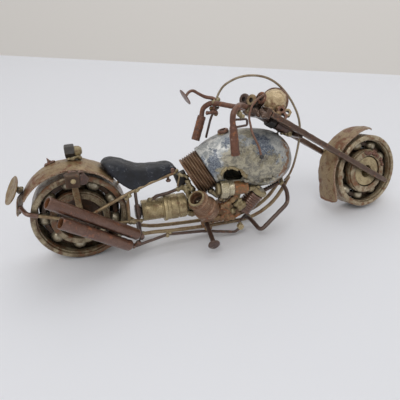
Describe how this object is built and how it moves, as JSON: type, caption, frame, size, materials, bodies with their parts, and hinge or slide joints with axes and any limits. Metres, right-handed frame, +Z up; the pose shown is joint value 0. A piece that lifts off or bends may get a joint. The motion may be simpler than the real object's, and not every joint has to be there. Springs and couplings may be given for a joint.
{
  "type": "scrap-metal chopper motorcycle ornament",
  "caption": "Hand-welded chopper ornament with ball-bearing wheels, raked steering fork, pipe-fitting tank, twin mufflers and saddle.",
  "frame": {"origin": "on the ground under the rear axle, at the centre of the flat of the rear wheel's tread", "axes": "+X forward along the bike, +Y to its left, +Z up; the pictured side is the right side, -Y"},
  "size_m": [0.2396, 0.0542, 0.0905],
  "materials": {
    "bearing_steel": "worn bearing steel with brown stains",
    "ball_steel": "polished balls, dull between them",
    "rusted_steel": "dark red-brown rust, matt",
    "dark_steel": "blackened steel, lightly rusted",
    "tan_sheet": "tan-brown weathered sheet steel",
    "dull_brass": "brass-coloured weathered rod and fittings, read as lacquered steel",
    "dull_nickel": "dull plated hexagon nut",
    "galvanised_iron": "blue-grey galvanised skin, stained brown below",
    "saddle_black": "blue-black, soft-looking, scuffed white",
    "weld_metal": "lumpy brown weld"
  },
  "bodies": {
    "frame": {"bracket_nut": "rusted_steel", "carburettor_barrel": "rusted_steel", "carburettor_nut": "dull_nickel", "crash_bar": "dark_steel", "engine_block": "weld_metal", "fender_bolt": "dark_steel", "filler_ring": "rusted_steel", "foot_peg": "rusted_steel", "front_cylinder": "rusted_steel", "front_cylinder_nut": "dull_brass", "gearbox_body": "dull_brass", "gearbox_bolt": "dark_steel", "head_tube": "dark_steel", "header_pipe": "dark_steel", "hub_strap": "tan_sheet", "lower_rail_left": "dull_brass", "lower_rail_right": "dull_brass", "muffler_lower": "rusted_steel", "muffler_upper": "rusted_steel", "rear_cylinder": "rusted_steel", "rear_fender": "tan_sheet", "rear_hub_plug": "rusted_steel", "rear_inner_ring": "bearing_steel", "seat": "saddle_black", "seat_block": "dark_steel", "seat_posts": "dark_steel", "seat_rail_left": "dull_brass", "seat_rail_right": "dull_brass", "swing_arm_left": "dull_brass", "tail_disc": "tan_sheet", "tail_plate": "tan_sheet", "tail_stay": "dull_brass", "tank_body": "galvanised_iron", "tank_neck": "rusted_steel", "threaded_stud": "dark_steel", "throttle_cable": "dull_brass", "top_rod": "dark_steel"},
    "rear_wheel": {"rear_outer_ring": "bearing_steel"},
    "rear_balls": {"rear_ball_cage": "ball_steel"},
    "steering": {"fork_leg_left": "rusted_steel", "fork_leg_right": "rusted_steel", "stem_bolt": "dark_steel", "stem_nut": "rusted_steel", "lower_yoke": "dark_steel", "upper_yoke": "rusted_steel", "handlebar": "rusted_steel", "grip_left": "rusted_steel", "grip_right": "rusted_steel", "lever_left": "dark_steel", "lever_right": "dark_steel", "mirror": "tan_sheet", "gauge_rings": "dull_brass", "headlamp": "tan_sheet", "clutch_wire": "rusted_steel", "front_inner_ring": "bearing_steel", "front_hub_plates": "dull_brass", "front_fender": "tan_sheet"},
    "front_wheel": {"front_outer_ring": "bearing_steel"},
    "front_balls": {"front_ball_cage": "ball_steel"}
  },
  "joints": [
    {"name": "rear_wheel_spin", "type": "hinge", "parent": "frame", "child": "rear_wheel", "pos_m": [0, 0, 0.02592], "axis": [0, 1, 0], "continuous": true},
    {"name": "rear_cage_spin", "type": "hinge", "parent": "frame", "child": "rear_balls", "pos_m": [0, 0, 0.02592], "axis": [0, 1, 0], "continuous": true},
    {"name": "steering_turn", "type": "hinge", "parent": "frame", "child": "steering", "pos_m": [0.17918, 0, 0.02322], "axis": [-0.8387, 0, 0.5446], "range_deg": [-26, 5], "deforming": ["throttle_cable"]},
    {"name": "front_wheel_spin", "type": "hinge", "parent": "steering", "child": "front_wheel", "pos_m": [0.1797, 0.00027, 0.02403], "axis": [-0.1474, 0.9627, -0.2269], "continuous": true},
    {"name": "front_cage_spin", "type": "hinge", "parent": "steering", "child": "front_balls", "pos_m": [0.1797, 0.00027, 0.02403], "axis": [-0.1474, 0.9627, -0.2269], "continuous": true}
  ],
  "couplings": [
    {"joint": "rear_cage_spin", "follows": "rear_wheel_spin", "ratio": 0.601},
    {"joint": "front_cage_spin", "follows": "front_wheel_spin", "ratio": 0.604}
  ]
}
